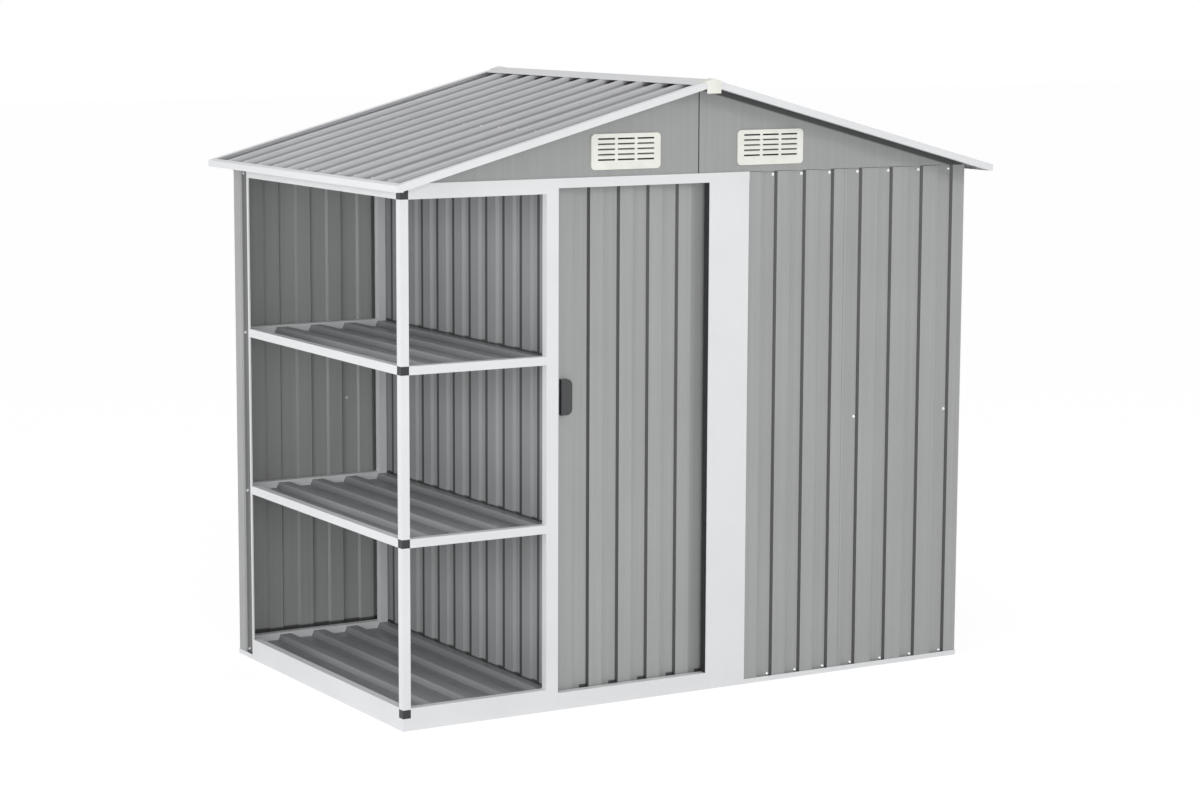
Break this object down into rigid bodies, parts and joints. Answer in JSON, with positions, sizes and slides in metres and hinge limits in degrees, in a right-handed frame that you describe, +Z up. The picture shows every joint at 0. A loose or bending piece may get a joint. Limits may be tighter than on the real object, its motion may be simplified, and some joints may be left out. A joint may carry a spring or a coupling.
{
  "type": "metal storage shed with side rack",
  "caption": "Gabled metal garden shed with ribbed steel walls and roof, a sliding door on the front, louvre vents and an open shelf rack along its left side.",
  "frame": {"origin": "middle of the roof's plan at ground level, under the base frame", "axes": "+X to the right along the front, +Y from the front to the rear, +Z up"},
  "size_m": [2.05, 1.3, 1.8281],
  "materials": {
    "grey_sheet": "satin light grey paint on galvanised sheet",
    "roof_sheet": "satin light grey paint on galvanised sheet",
    "shelf_sheet": "satin grey paint on galvanised sheet",
    "white_frame": "satin white paint",
    "cream_plastic": "moulded cream plastic",
    "black_plastic": "moulded black plastic"
  },
  "bodies": {
    "shed": {"rack_front_apron": "white_frame", "rack_left_apron": "white_frame", "door_threshold": "white_frame", "front_base_rail": "white_frame", "right_base_rail": "white_frame", "rear_base_rail": "white_frame", "divider_base_rail": "white_frame", "rack_front_post": "white_frame", "rack_rear_post": "white_frame", "rack_divider_post": "white_frame", "rack_connectors": "black_plastic", "rack_floor_rails": "white_frame", "lower_shelf_rails": "white_frame", "upper_shelf_rails": "white_frame", "rack_top_rails": "white_frame", "rack_floor_panel": "shelf_sheet", "lower_shelf_panel": "shelf_sheet", "upper_shelf_panel": "shelf_sheet", "divider_wall": "grey_sheet", "rear_wall": "grey_sheet", "right_wall": "grey_sheet", "front_wall": "grey_sheet", "rear_left_corner": "grey_sheet", "right_corner_posts": "grey_sheet", "door_jamb": "white_frame", "jamb_panel": "white_frame", "front_beam": "white_frame", "front_top_rail": "white_frame", "rear_beam": "white_frame", "divider_top_rail": "white_frame", "eave_rails": "white_frame", "front_gable": "grey_sheet", "rear_gable": "grey_sheet", "front_vents": "cream_plastic", "rear_vents": "cream_plastic", "left_roof_sheets": "roof_sheet", "right_roof_sheets": "roof_sheet", "eave_trims": "white_frame", "verge_trims": "white_frame", "ridge_cap": "white_frame", "ridge_end_caps": "cream_plastic", "ridge_beam": "white_frame", "roof_purlins": "white_frame"},
    "door": {"door_panel": "grey_sheet", "door_rails": "white_frame", "door_rollers": "black_plastic", "door_handle": "black_plastic"}
  },
  "joints": [
    {"name": "door_slide", "type": "slide", "parent": "shed", "child": "door", "axis": [1, 0, 0], "range_m": [0, 0.445]}
  ]
}
